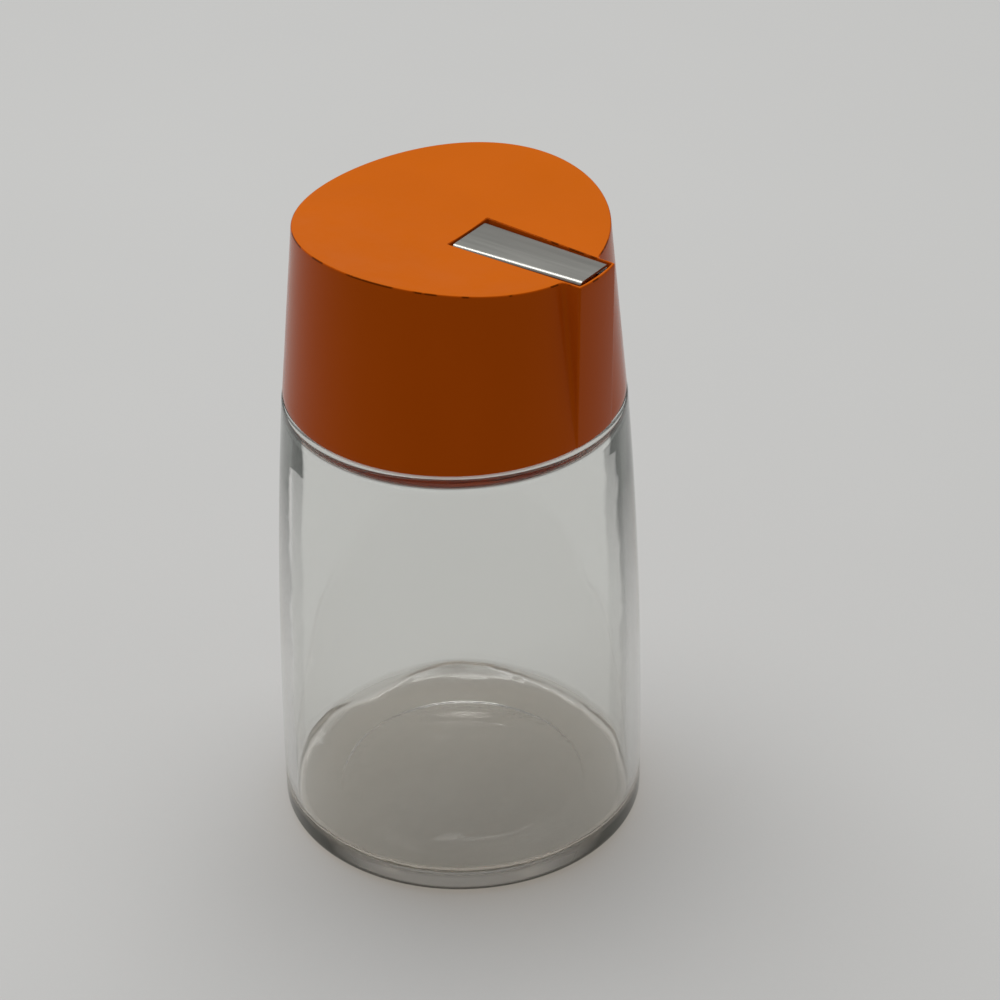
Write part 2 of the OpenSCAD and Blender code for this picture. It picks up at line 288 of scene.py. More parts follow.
def bore_mesh(radius, half_l):
    """Bar along the hinge pin that cuts a bore"""
    mesh = bpy.data.meshes.new("bore")
    work = bmesh.new()
    turn = Matrix.Translation((PIN_X, 0, PIN_Z)) @ Matrix.Rotation(math.pi / 2, 4, "X")
    sizes = {"segments": 48, "radius1": radius, "radius2": radius, "depth": 2 * half_l}
    bmesh.ops.create_cone(work, cap_ends=True, matrix=turn, **sizes)
    work.to_mesh(mesh)
    work.free()
    return mesh


def combine(piece, tool_mesh, operation):
    """Adds or cuts a closed mesh to or from a piece"""
    tool = add_piece("tool", tool_mesh)
    step = piece.modifiers.new("step", "BOOLEAN")
    step.operation = operation
    step.solver = "EXACT"
    step.object = tool
    bpy.context.view_layer.update()
    result = bpy.data.meshes.new_from_object(piece.evaluated_get(bpy.context.evaluated_depsgraph_get()))
    piece.modifiers.clear()
    old = piece.data
    piece.data = result
    bpy.data.meshes.remove(old)
    bpy.data.objects.remove(tool)
    bpy.data.meshes.remove(tool_mesh)


# ---------------------------------------------------------------- materials


class Graph:
    """Short calls for the nodes that materials and geometry trees are built from"""

    def __init__(self, tree):
        self.nodes, self.links = tree.nodes, tree.links

    def feed(self, socket, value):
        """Links a socket to another, or sets its value"""
        if hasattr(value, "is_output"):
            self.links.new(value, socket)
        elif value is not None:
            socket.default_value = value

    def add(self, kind, *values, **named):
        """New node, with its first inputs fed in order and others by name"""
        node = self.nodes.new(kind)
        for socket, value in zip(node.inputs, values):
            self.feed(socket, value)
        for name, value in named.items():
            self.feed(node.inputs[name.replace("_", " ")], value)
        return node

    def maths(self, operation, first, second=None):
        step = self.add("ShaderNodeMath", first, second)
        step.operation = operation
        return step.outputs[0]

    def vector_maths(self, operation, first, second=None):
        step = self.add("ShaderNodeVectorMath", first, second)
        step.operation = operation
        return step.outputs

    def vector(self, x, y, z):
        return self.add("ShaderNodeCombineXYZ", x, y, z).outputs[0]

    def parts(self, vector):
        return self.add("ShaderNodeSeparateXYZ", vector).outputs

    def ramp(self, value, low, high, to_low, to_high):
        """Straight ramp from one range to another, held at its ends"""
        step = self.add("ShaderNodeMapRange", Value=value, From_Min=low, From_Max=high, To_Min=to_low, To_Max=to_high)
        return step.outputs["Result"]

    def noise(self, place, scale, detail=2.0, stretch=(1, 1, 1)):
        """Noise on object coordinates, in metres, stretched along the axes"""
        mapping = self.add("ShaderNodeMapping", Vector=place, Scale=stretch)
        pattern = self.add("ShaderNodeTexNoise", Vector=mapping.outputs["Vector"], Scale=scale, Detail=detail)
        return pattern.outputs["Fac"]

    def mix(self, share, first, second):
        """Blend of two colours, each a socket or plain numbers"""
        mix = self.nodes.new("ShaderNodeMix")
        mix.data_type = "RGBA"
        self.feed(mix.inputs["Factor"], share)
        for socket, value in zip(mix.inputs[6:8], (first, second)):
            self.feed(socket, value if hasattr(value, "is_output") else (*value, 1))
        return mix.outputs[2]

    def shade(self, share, base, spread, lift=0.0):
        """Colour that wanders between a darker and a paler shade of its base"""
        paler = tuple(min(1, c * (1 + spread) + lift) for c in base)
        return self.mix(share, tuple(c * (1 - spread) for c in base), paler)

    def bump(self, shader, height, depth):
        bump = self.add("ShaderNodeBump", Height=height, Distance=depth)
        self.links.new(bump.outputs["Normal"], shader.inputs["Normal"])

    def place(self):
        return self.add("ShaderNodeTexCoord").outputs["Object"]


def new_material(name):
    material = bpy.data.materials.new(name)
    material.use_nodes = True
    graph = Graph(material.node_tree)
    graph.nodes.clear()
    shader = graph.add("ShaderNodeBsdfPrincipled")
    output = graph.add("ShaderNodeOutputMaterial", Surface=shader.outputs["BSDF"])
    return material, graph, shader, output


def axis_distance(graph, place):
    """Distance from the upright axis"""
    flat = graph.vector_maths("MULTIPLY", place, (1, 1, 0))[0]
    return graph.vector_maths("LENGTH", flat)["Value"]


def glass_painted_shade_share(graph, place, height):
    """Share of the dark tint, which is painted shade: bands where the wall is seen along its thickness, the outer heel
    and the inner floor
    """
    maths, ramp = graph.maths, graph.ramp
    facing = graph.add("ShaderNodeLayerWeight", Blend=0.5).outputs["Facing"]
    ragged = maths("MULTIPLY", maths("SUBTRACT", graph.noise(place, 110, 4), 0.5), 0.12)
    # the painted shade bands are wider on one side than on the other
    side = ramp(graph.vector_maths("DOT_PRODUCT", place, DARK_BAND_SIDE)["Value"], -36 * MM, 36 * MM, 0.0, 1.0)
    step_z = maths("ADD", ramp(side, 0.0, 1.0, 96 * MM, 100.5 * MM), maths("MULTIPLY", ragged, 0.02))
    shoulder_share = ramp(maths("SUBTRACT", height, step_z), -0.4 * MM, 0.4 * MM, 0.0, 1.0)
    wall_from = ramp(side, 0.0, 1.0, 0.70, 0.61)
    start = maths("ADD", wall_from, maths("MULTIPLY", maths("SUBTRACT", 0.55, wall_from), shoulder_share))
    band = ramp(maths("SUBTRACT", maths("ADD", facing, ragged), start), 0.0, 0.03, 0.0, 1.0)
    band = maths("MULTIPLY", band, ramp(height, 45 * MM, 90 * MM, 0.26, 1.0))
    distance = axis_distance(graph, place)
    heel = maths("MULTIPLY", ramp(facing, 0.30, 0.52, 0.0, 1.0), ramp(height, 5.5 * MM, 8.5 * MM, 1.0, 0.0))
    heel = maths("MULTIPLY", heel, ramp(distance, 38 * MM, 39 * MM, 0.0, 1.0))
    # painted shade on the inner floor, the same from every side
    floor = ramp(distance, FLOOR_EDGE[0], FLOOR_EDGE[1], FLOOR_PAINTED_SHADE, 0.0)
    floor = maths("MULTIPLY", floor, ramp(height, FLOOR_LOW[0], FLOOR_LOW[1], 0.0, 1.0))
    floor = maths("MULTIPLY", floor, ramp(height, FLOOR_HIGH[0], FLOOR_HIGH[1], 1.0, 0.0))
    return maths("MAXIMUM", maths("MAXIMUM", band, heel), floor)


def glass_relief(graph, place, height):
    """Height of the glass surface's waves and of the stippled ring under the base, in metres"""
    maths, ramp = graph.maths, graph.ramp
    waves = maths("MULTIPLY", graph.noise(place, 70, 1, (1, 1, 0.35)), 0.12 * MM)
    near = maths("ABSOLUTE", maths("SUBTRACT", axis_distance(graph, place), STEP_R))
    near = ramp(near, 1.3 * MM, 2.3 * MM, STEP_GRAIN, 0.0)
    near = maths("MULTIPLY", near, ramp(height, 2.2 * MM, 2.6 * MM, 1.0, 0.0))
    grain = maths("MULTIPLY", graph.noise(place, 800, 2, (1, 1, 0)), near)
    return maths("ADD", waves, grain)


def glass_film(graph, place, height, ledge_z):
    """Share of light that the surface scatters: dusty inner floor, worn ledge of the shoulder and worn heel"""
    maths, ramp = graph.maths, graph.ramp
    distance = axis_distance(graph, place)
    share = ramp(graph.noise(place, 48, 5, (1.0, 0.45, 0.3)), 0.35, 0.70, 0.14, 0.32)
    share = maths("MULTIPLY", share, ramp(distance, *FLOOR_EDGE, 1.0, 0.0))
    share = maths("MULTIPLY", share, ramp(height, *FLOOR_LOW, 0.0, 1.0))
    share = maths("MULTIPLY", share, ramp(height, *FLOOR_HIGH, 1.0, 0.0))
    ledge = ramp(height, ledge_z - 0.12 * MM, ledge_z - 0.04 * MM, 0.0, 0.5)
    ledge = maths("MULTIPLY", ledge, ramp(height, ledge_z, ledge_z + 0.2 * MM, 1.0, 0.0))
    heel = ramp(height, 4.5 * MM, 7 * MM, 0.36, 0.0)
    heel = maths("MULTIPLY", heel, ramp(distance, 38 * MM, 39 * MM, 0.0, 1.0))
    return maths("MAXIMUM", maths("MAXIMUM", share, ledge), heel)


def glass_material(jar):
    """Clear pressed glass: faint waves, a stippled ring underneath, and lamps shine straight through it"""
    material, graph, shader, output = new_material("clear_glass")
    shader.inputs["IOR"].default_value = 1.51
    place = graph.place()
    height = graph.parts(place)["Z"]
    film = glass_film(graph, place, height, jar.shoulder_z)
    graph.feed(shader.inputs["Transmission Weight"], graph.maths("SUBTRACT", 1, film))
    # dark tint of the bands, the heel and the inner floor: painted shade
    edge = glass_painted_shade_share(graph, place, height)
    graph.feed(shader.inputs["Base Color"], graph.mix(edge, (0.955, 0.965, 0.955), jar.edge_shade_tint))
    graph.feed(shader.inputs["Roughness"], graph.ramp(graph.noise(place, 60, 4), 0.55, 0.8, 0.0, 0.06))
    graph.bump(shader, glass_relief(graph, place, height), 1)
    # lamps and bounced light pass straight through
    clear = graph.add("ShaderNodeBsdfTransparent", Color=(0.975, 0.955, 0.925, 1))
    path = graph.add("ShaderNodeLightPath").outputs
    passing = graph.maths("MAXIMUM", path["Is Shadow Ray"], path["Is Diffuse Ray"])
    mix = graph.add("ShaderNodeMixShader", passing, shader.outputs["BSDF"], clear.outputs["BSDF"])
    graph.feed(output.inputs["Surface"], mix.outputs["Shader"])
    absorption = graph.add("ShaderNodeVolumeAbsorption", Color=(*jar.tint, 1), Density=jar.tint_density)
    graph.feed(output.inputs["Volume"], absorption.outputs["Volume"])
    return material


def edge_dark_line(graph, place, edge_z, trough_r):
    """Broken dark line along the trough-shaped upper edge"""
    parts = graph.parts(place)
    rise = graph.maths("DIVIDE", graph.maths("MULTIPLY", parts["Y"], parts["Y"]), 2 * trough_r)
    away = graph.maths("ABSOLUTE", graph.maths("SUBTRACT", graph.maths("SUBTRACT", parts["Z"], rise), edge_z))
    near = graph.ramp(away, 0.12 * MM, 0.26 * MM, 1.0, 0.0)
    chips = graph.ramp(graph.noise(place, 160, 5), 0.53, 0.57, 0.0, 0.85)
    return graph.maths("MULTIPLY", near, chips)


def plastic_material(name, base, roughness, grain, grain_depth, edge=None):
    """Moulded plastic with faint flow marks and a fine skin. edge is its height and trough radius, where it has one"""
    material, graph, shader, _ = new_material(name)
    place = graph.place()
    surface = graph.shade(graph.noise(place, 45, 3, (1, 1, 0.4)), base, 0.06, 0.002)
    if edge:
        # dark colour of the broken line along the upper edge
        worn = tuple(c * 0.22 for c in base)
        surface = graph.mix(edge_dark_line(graph, place, *edge), surface, worn)
    graph.feed(shader.inputs["Base Color"], surface)
    smear = graph.ramp(graph.noise(place, 130, 3), 0.3, 0.7, roughness * 0.8, roughness * 1.25)
    graph.feed(shader.inputs["Roughness"], smear)
    shader.inputs["IOR"].default_value = 1.2
    shader.inputs["Specular Tint"].default_value = (1.0, 0.4, 0.0, 1)
    graph.bump(shader, graph.noise(place, grain, 2), grain_depth)
    return material


def steel_material(name, base, roughness):
    """Sheet steel, brushed along its length, with small rub marks"""
    material, graph, shader, _ = new_material(name)
    shader.inputs["Metallic"].default_value = 1
    brushing = graph.noise(graph.place(), 900, 2, (0.04, 1, 1))
    graph.feed(shader.inputs["Base Color"], graph.shade(brushing, base, 0.03))
    rubbed = graph.ramp(brushing, 0.3, 0.7, roughness * 0.92, roughness * 1.08)
    graph.feed(shader.inputs["Roughness"], rubbed)
    graph.bump(shader, brushing, 0.001 * MM)
    return material


def floor_material(stage):
    """Pale matt board"""
    material, graph, shader, _ = new_material("pale_board")
    place = graph.place()
    graph.feed(shader.inputs["Base Color"], graph.shade(graph.noise(place, 9, 3), stage.floor_colour, 0.02))
    shader.inputs["Roughness"].default_value = 0.8
    shader.inputs["Specular IOR Level"].default_value = 0.2
    graph.bump(shader, graph.noise(place, 1500, 3), 0.03 * MM)
    return material


# ---------------------------------------------------------------- jar


def side_radius(jar, z):
    return jar.body_r - jar.side_arc_r + math.sqrt(jar.side_arc_r**2 - (z - jar.widest_z) ** 2)


def jar_profile(jar):
    """Outline from the centre of the underside, up outside and down inside to the centre of the floor"""
    rows = []

    def add(kind, points):
        rows.extend((kind, r, z) for r, z in points)

    heel_r = side_radius(jar, jar.heel_round) - jar.heel_round
    dome_h = jar.pushup_h - jar.pushup_step
    dome_edge = jar.pushup_r - 1.2 * MM
    dome_r = (dome_edge**2 + dome_h**2) / (2 * dome_h)
    for r in np.linspace(0.02, 1, 20) * dome_edge:
        add("under", [(r, jar.pushup_h - dome_r + math.sqrt(dome_r**2 - r * r))])
    for share in np.linspace(0, 1, 9)[1:]:
        drop = (1 - math.cos(math.pi * share)) / 2
        add("step", [(dome_edge + share * (jar.pushup_r - dome_edge), jar.pushup_step * (1 - drop))])
    add("rest", line((jar.pushup_r, 0), (heel_r, 0), 4)[1:-1])
    add("heel", arc((heel_r, jar.heel_round), jar.heel_round, -90, 0, 9))
    low, high = jar.heel_round, jar.shoulder_z - jar.shoulder_round
    add("side", [(side_radius(jar, z), z) for z in np.linspace(low, high, 44)[1:-1]])
    edge_r = side_radius(jar, high) - jar.shoulder_round
    add("shoulder", arc((edge_r, high), jar.shoulder_round, 0, 90, 8))
    fillet = 0.6 * MM
    add("shoulder", line((edge_r, jar.shoulder_z), (jar.neck_r + fillet, jar.shoulder_z), 3)[1:-1])
    add("shoulder", arc((jar.neck_r + fillet, jar.shoulder_z + fillet), fillet, 270, 180, 4))
    rim_z = jar.mouth_z - jar.mouth_round
    add("neck", line((jar.neck_r, jar.shoulder_z + fillet), (jar.neck_r, rim_z), 44)[1:-1])
    add("mouth", arc((jar.neck_r - jar.mouth_round, rim_z), jar.mouth_round, 0, 90, 6))
    inner_r = jar.neck_r - jar.neck_wall
    add("mouth", arc((inner_r + jar.mouth_round, rim_z), jar.mouth_round, 90, 180, 6))
    crown_z = jar.shoulder_z - jar.shoulder_t
    crown_r = inner_r + jar.throat_round
    add("inside", line((inner_r, rim_z), (inner_r, crown_z + jar.throat_round), 8)[1:-1])
    add("inside", arc((crown_r, crown_z + jar.throat_round), jar.throat_round, 180, 270, 8))
    crown_edge = side_radius(jar, crown_z - jar.crown_round) - jar.wall - jar.crown_round
    add("inside", arc((crown_edge, crown_z - jar.crown_round), jar.crown_round, 90, 0, 10))
    low = jar.floor_t + jar.floor_round
    for z in np.linspace(crown_z - jar.crown_round, low, 50)[1:-1]:
        add("inside", [(side_radius(jar, z) - jar.wall, z)])
    corner_r = side_radius(jar, low) - jar.wall - jar.floor_round
    add("inside", arc((corner_r, low), jar.floor_round, 0, -90, 14))
    add("floor", [(r, jar.floor_t) for r in np.linspace(corner_r, 0.02 * corner_r, 34)[1:]])
    return rows


def thread_ridge(turn, height, pitch):
    """Share of a helical ridge at a height above the thread's start, for a point at a share of a turn"""
    best = 0.0
    for k in range(-1, int(THREAD_TURNS) + 1):
        along = turn + k
        if not 0 <= along <= THREAD_TURNS:
            continue
        away = abs(height - pitch * along) / THREAD_HALF_W
        ends = min(1, along / 0.12, (THREAD_TURNS - along) / 0.12)
        if away < 1:
            best = max(best, ends * (0.5 + 0.5 * math.cos(math.pi * away)))
    return best


def floor_wave(turn):
    """Rise of the inner edge of the floor in a direction, in degrees"""
    rise = 0.0
    for height, direction, width in FLOOR_WAVES:
        away = (turn - direction + 180) % 360 - 180
        rise += height * math.exp(-((away / width) ** 2))
    return rise


def make_jar(jar):
    rows = jar_profile(jar)
    around = jar.segments
    angles = np.linspace(0, 2 * math.pi, around, endpoint=False)
    thread_low = jar.shoulder_z + 3 * MM
    waves = [floor_wave(math.degrees(a)) for a in angles]
    edge_r = side_radius(jar, jar.floor_t) - jar.wall
    rings = []
    for kind, r, z in rows:
        ring = []
        reach = (r / edge_r) ** 5 if kind == "floor" else math.exp(-((z - jar.floor_t) / (14 * MM)) ** 2)
        for a, rise in zip(angles, waves):
            c, s = math.cos(a), math.sin(a)
            out, up = r, z
            if kind == "neck":
                turn = a / (2 * math.pi)
                out += jar.thread_h * thread_ridge(turn, z - thread_low, jar.thread_pitch)
            elif kind in ("inside", "floor"):
                wave = noise.noise(Vector((r * c * 55, r * s * 55, z * 16)))
                ragged = noise.noise(Vector((r * c * 320, r * s * 320, 0)))
                up += reach * rise + reach**4 * 0.3 * MM * ragged
                if kind == "inside":
                    out -= 0.12 * MM * wave
                else:
                    up += 0.25 * MM * wave
            ring.append((out * c, out * s, up))
        rings.append(ring)
    poles = ((0, 0, jar.pushup_h), (0, 0, jar.floor_t))
    mesh = skin_rings("glass_body", rings, poles)
    smooth_below(mesh, 50)
    mesh.materials.append(glass_material(jar))
    piece = add_piece("glass_body", mesh)
    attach(piece, "jar")
    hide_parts("glass_jar")


# ---------------------------------------------------------------- lid


def skirt_radius(lid, z):
    return lid.rim_r - lid.taper * (z - lid.rim_z)


def trough_height(lid, y, wall=0.0):
    return lid.top_z + lid.trough_r - np.sqrt((lid.trough_r + wall) ** 2 - y * y)


def soft_low(first, second, width):
    """The lower of two values, eased over where they are within a width of each other"""
    near = np.maximum(width - np.abs(first - second), 0) / width
    return np.minimum(first, second) - near**2 * width / 4


def lid_turns():
    """Directions of the lid's points: close together round the spout's corners and fillets"""
    half = [np.linspace(0, 8.8, 9), np.linspace(9, 11.3, 26), np.linspace(11.45, 14, 16), np.linspace(15.4, 180, 112)]
    half = np.radians(np.concatenate(half))
    return np.concatenate([half, -half[-2:0:-1]])


def lid_reach(lid, turns, z, inset):
    """Distance from the axis to the lid's outside in each direction: skirt and spout with a fillet between"""
    share = (z - lid.rim_z) / (lid.top_z - lid.rim_z)
    skirt = skirt_radius(lid, z)
    front = lid.spout_foot_r + (lid.spout_r - lid.spout_foot_r) * share
    half_w = lid.spout_foot_half_w + (lid.spout_half_w - lid.spout_foot_half_w) * share
    fillet = np.clip(0.8 * (front - skirt), 0.02 * MM, lid.spout_fillet)
    low, high = np.full_like(turns, 25 * MM), np.full_like(turns, 40 * MM)
    for _ in range(26):
        reach = (low + high) / 2
        beside = np.where(np.cos(turns) > 0, np.abs(reach * np.sin(turns)) - half_w, 1.0)
        from_spout = -soft_low(-beside, front - reach, lid.spout_corner)
        inside = soft_low(reach - skirt, from_spout, fillet) + inset < 0
        low, high = np.where(inside, reach, low), np.where(inside, high, reach)
    return low


def lid_ring(lid, turns, share, drop, inset):
    """Ring round the lid's outside at a share of the way from the rounded upper edge down to the rim's"""
    low = lid.rim_z + lid.edge_round
    z = np.full_like(turns, lid.top_z)
    for _ in range(5):
        reach = lid_reach(lid, turns, z, inset)
        high = trough_height(lid, reach * np.sin(turns)) - drop
        z = high + share * (low - high)
    return np.stack([reach * np.cos(turns), reach * np.sin(turns), z], 1)


def make_lid_shell(lid):
    """Outer skin, rim, threaded bore and chamber, with no slot yet"""
    rings = []
    turns = lid_turns()
    e = lid.edge_round
    edge = lid_ring(lid, turns, 0, 0, e)
    for share in np.linspace(0.03, 1, 22):
        x, y = edge[:, 0] * share, edge[:, 1] * share
        rings.append(np.stack([x, y, trough_height(lid, y)], 1))
    # rounded upper edge, skirt and rounded rim
    for a in np.radians(np.linspace(15, 90, 6)):
        rings.append(lid_ring(lid, turns, 0, e * (1 - math.cos(a)), e * (1 - math.sin(a))))
    for share in np.linspace(0, 1, 26)[1:]:
        rings.append(lid_ring(lid, turns, share, e, 0))
    for a in np.radians(np.linspace(15, 90, 6)):
        ring = lid_ring(lid, turns, 1, e, e * (1 - math.cos(a)))
        ring[:, 2] -= e * math.sin(a)
        rings.append(ring)

    def circle(radius, z):
        return np.stack([radius * np.cos(turns), radius * np.sin(turns), z + 0 * turns], 1)

    rings.append(circle(lid.bore_r + 0.4 * MM, lid.rim_z))
    # bore with its thread
    for z in np.linspace(lid.rim_z + 0.4 * MM, lid.seat_z, 44):
        start = lid.rim_z + 2 * MM
        ridge = [thread_ridge((t / (2 * math.pi)) % 1, z - start, THREAD_PITCH) for t in turns]
        rings.append(circle(lid.bore_r - lid.thread_h * np.array(ridge), z))
    # chamber, up to its ceiling
    ceiling_r = skirt_radius(lid, lid.top_z) - lid.wall
    ceiling_z = trough_height(lid, ceiling_r * np.sin(turns), lid.wall)
    for share in np.linspace(0, 1, 10):
        z = lid.seat_z + share * (ceiling_z - lid.seat_z)
        rings.append(circle(skirt_radius(lid, z) - lid.wall, z))
    for share in np.linspace(0.95, 0.03, 14):
        ring = circle(ceiling_r * share, 0)
        ring[:, 2] = trough_height(lid, ring[:, 1], lid.wall)
        rings.append(ring)
    poles = ((0, 0, lid.top_z), (0, 0, trough_height(lid, 0, lid.wall)))
    return skin_rings("lid_moulding", rings, poles)


def rib_tree():
    """Seat ribs round the inside of the lid: one tapered rib, copied on a circle and reaching the ceiling"""
    tree = bpy.data.node_groups.new("seat_ribs", "GeometryNodeTree")
    kinds = {
        "Count": "NodeSocketInt",
        "Inner Radius": "NodeSocketFloat",
        "Depth": "NodeSocketFloat",
        "Thickness": "NodeSocketFloat",
        "Height": "NodeSocketFloat",
        "Low": "NodeSocketFloat",
        "Lean": "NodeSocketFloat",
        "Trough Radius": "NodeSocketFloat",
        "Material": "NodeSocketMaterial",
    }
    for name, kind in kinds.items():
        tree.interface.new_socket(name, in_out="INPUT", socket_type=kind)
    tree.interface.new_socket("Geometry", in_out="OUTPUT", socket_type="NodeSocketGeometry")
    graph = Graph(tree)
    add, maths, vector = graph.add, graph.maths, graph.vector
    given = add("NodeGroupInput").outputs
    # one rib: its foot at the origin, its outer face leaning in with the skirt
    rib = add("GeometryNodeMeshCube", Size=vector(given["Depth"], given["Thickness"], given["Height"]))
    half_depth = maths("MULTIPLY", given["Depth"], 0.5)
    middle = vector(half_depth, 0.0, maths("MULTIPLY", given["Height"], 0.5))
    lifted = add("GeometryNodeSetPosition", Geometry=rib.outputs["Mesh"], Offset=middle)
    parts = graph.parts(add("GeometryNodeInputPosition").outputs[0])
    outer = maths("GREATER_THAN", parts["X"], half_depth)
    lean = maths("MULTIPLY", maths("MULTIPLY", parts["Z"], given["Lean"]), outer)
    lean = vector(maths("MULTIPLY", lean, -1.0), 0.0, 0.0)
    leaned = add("GeometryNodeSetPosition", Geometry=lifted.outputs["Geometry"], Offset=lean)
    # copies on the circle
    index = add("GeometryNodeInputIndex").outputs[0]
    turn = maths("DIVIDE", maths("MULTIPLY", maths("ADD", index, 0.5), 2 * math.pi), given["Count"])
    x = maths("MULTIPLY", maths("COSINE", turn), given["Inner Radius"])
    y = maths("MULTIPLY", maths("SINE", turn), given["Inner Radius"])
    spots = add("GeometryNodePoints", Count=given["Count"], Position=vector(x, y, given["Low"]))
    rise = maths("DIVIDE", maths("MULTIPLY", maths("MULTIPLY", y, y), 0.5), given["Trough Radius"])
    stretch = maths("ADD", maths("DIVIDE", rise, given["Height"]), 1.0)
    copies = add(
        "GeometryNodeInstanceOnPoints",
        Points=spots.outputs[0],
        Instance=leaned.outputs["Geometry"],
        Rotation=vector(0.0, 0.0, turn),
        Scale=vector(1.0, 1.0, stretch),
    )
    real = add("GeometryNodeRealizeInstances", copies.outputs[0])
    painted = add("GeometryNodeSetMaterial", Geometry=real.outputs[0], Material=given["Material"])
    add("NodeGroupOutput", painted.outputs[0])
    return tree


def rib_mesh(lid, material):
    holder = add_piece("ribs", bpy.data.meshes.new("ribs"))
    modifier = holder.modifiers.new("ribs", "NODES")
    tree = rib_tree()
    modifier.node_group = tree
    foot_r = skirt_radius(lid, lid.seat_z) - lid.wall / 2
    values = {
        "Count": lid.rib_count,
        "Inner Radius": lid.rib_inner_r,
        "Depth": foot_r - lid.rib_inner_r,
        "Thickness": lid.rib_t,
        "Height": lid.top_z - lid.wall / 2 - lid.seat_z,
        "Low": lid.seat_z,
        "Lean": lid.taper,
        "Trough Radius": lid.trough_r,
        "Material": material,
    }
    for item in tree.interface.items_tree:
        if item.in_out == "INPUT":
            modifier[item.identifier] = values[item.name]
    bpy.context.view_layer.update()
    result = bpy.data.meshes.new_from_object(holder.evaluated_get(bpy.context.evaluated_depsgraph_get()))
    bpy.data.objects.remove(holder)
    face_outwards(result)
    return result


def slot_side(lid, x):
    """Half width of the slot at a distance from the axis"""
    share = (x - lid.slot_start) / (lid.spout_r - lid.front_lip - lid.slot_start)
    return lid.slot_half_w + share * (lid.slot_end_half_w - lid.slot_half_w)


def slot_outline(lid, inset):
    """Outline of the slot: square at its inner end, narrower and round about the lid's axis at its outer end"""
    end_r = lid.spout_r - lid.front_lip - inset
    start_x = lid.slot_start + inset
    corner = 0.3 * MM
    outer_w = slot_side(lid, end_r) - inset - corner
    inner_w = slot_side(lid, start_x) - inset - corner
    corner_x = math.sqrt((end_r - corner) ** 2 - outer_w**2)
    turn = math.degrees(math.atan2(outer_w, corner_x))
    half = arc((0, 0), end_r, 0, turn, 8)[:-1]
    half += arc((corner_x, outer_w), corner, turn, 90, 5)
    half += arc((start_x + corner, inner_w), corner, 90, 180, 5)
    other = [(x, -y) for x, y in reversed(half[1:])]
    return half + other


def slot_tool(lid, ledge_z):
    """Cutter for the flap's recess, flared where it meets the top"""
    flare = lid.lip_round
    levels = [(0, ledge_z)]
    for a in np.radians(np.linspace(0, 75, 5)):
        levels.append((-flare * (1 - math.cos(a)), lid.top_z + 0.06 * MM - flare * (1 - math.sin(a))))
    levels.append((-flare, lid.top_z + 2 * MM))
    rings = [[(x, y, z) for x, y in slot_outline(lid, inset)] for inset, z in levels]
    poles = ((20 * MM, 0, ledge_z), (20 * MM, 0, lid.top_z + 2 * MM))
    return skin_rings("slot", rings, poles)


def make_lid(lid):
    shell = make_lid_shell(lid)
    edge = (lid.top_z - 0.22 * MM, lid.trough_r)
    side = plastic_material("orange_gloss", lid.side_colour, 0.16, 700, 0.004 * MM, edge)
    # the top's paler colour is painted light from above
    top = plastic_material("orange_satin_lit", lid.lit_top_colour, 0.42, 1200, 0.01 * MM)
    shell.materials.append(side)
    shell.materials.append(top)
    for face in shell.polygons:
        if face.normal.z > 0.9 and face.center.z > lid.top_z - 0.2 * MM:
            face.material_index = 1
    piece = add_piece("lid_moulding", shell)
    ledge_z = PIN_Z - lid.ledge_drop
    well_wall = 1.5 * MM
    roof = lid.top_z - 1 * MM
    boss = PIN_R + 1.4 * MM
    spout_w = lid.spout_half_w - 0.05 * MM
    housing_w = lid.housing_half_w
    combine(piece, rib_mesh(lid, side), "UNION")
    solids = [
        ((lid.slot_start - well_wall, -housing_w, lid.housing_z), (32.1 * MM, housing_w, roof)),
        ((27.9 * MM, -spout_w, lid.seat_z), (34.4 * MM, spout_w, lid.top_z - 8 * MM)),
        ((PIN_X - boss, -PIN_HIGH.y, PIN_Z - boss), (PIN_X + boss, PIN_HIGH.y, roof)),
    ]
    for low, high in solids:
        combine(piece, box_mesh("block", low, high), "UNION")
    combine(piece, slot_tool(lid, ledge_z), "DIFFERENCE")
    chute_w = lid.chute_half_w
    chute_x = math.sqrt(lid.chute_end_r**2 - chute_w**2)
    under_ledge = ledge_z + 0.1 * MM
    # the well's outer wall stops the flap's tail at the largest opening
    stop_x = PIN_X + 0.163 * MM
    well_low = PIN_Z - 5.98 * MM
    ear_room = PIN_R + 1.65 * MM
    cuts = [
        ((stop_x + well_wall, -chute_w, lid.housing_z - 1 * MM), (chute_x, chute_w, under_ledge), 1.0),
        ((26.9 * MM, -chute_w, lid.seat_z), (chute_x, chute_w, ledge_z), 1.0),
    ]
    start_w = slot_side(lid, lid.slot_start)
    for end_x, low_z in ((PIN_X + ear_room, PIN_Z - ear_room), (stop_x, well_low)):
        low = (lid.slot_start, -start_w, low_z)
        cuts.append((low, (end_x, start_w, under_ledge), slot_side(lid, end_x) / start_w))
    for low, high, far_share in cuts:
        combine(piece, box_mesh("cut", low, high, far_share), "DIFFERENCE")
    combine(piece, bore_mesh(PIN_R + 0.02 * MM, PIN_HIGH.y + 1 * MM), "DIFFERENCE")
    smooth_below(piece.data, 40)
    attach(piece, "lid")
    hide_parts("lid")


# ---------------------------------------------------------------- flap and pin


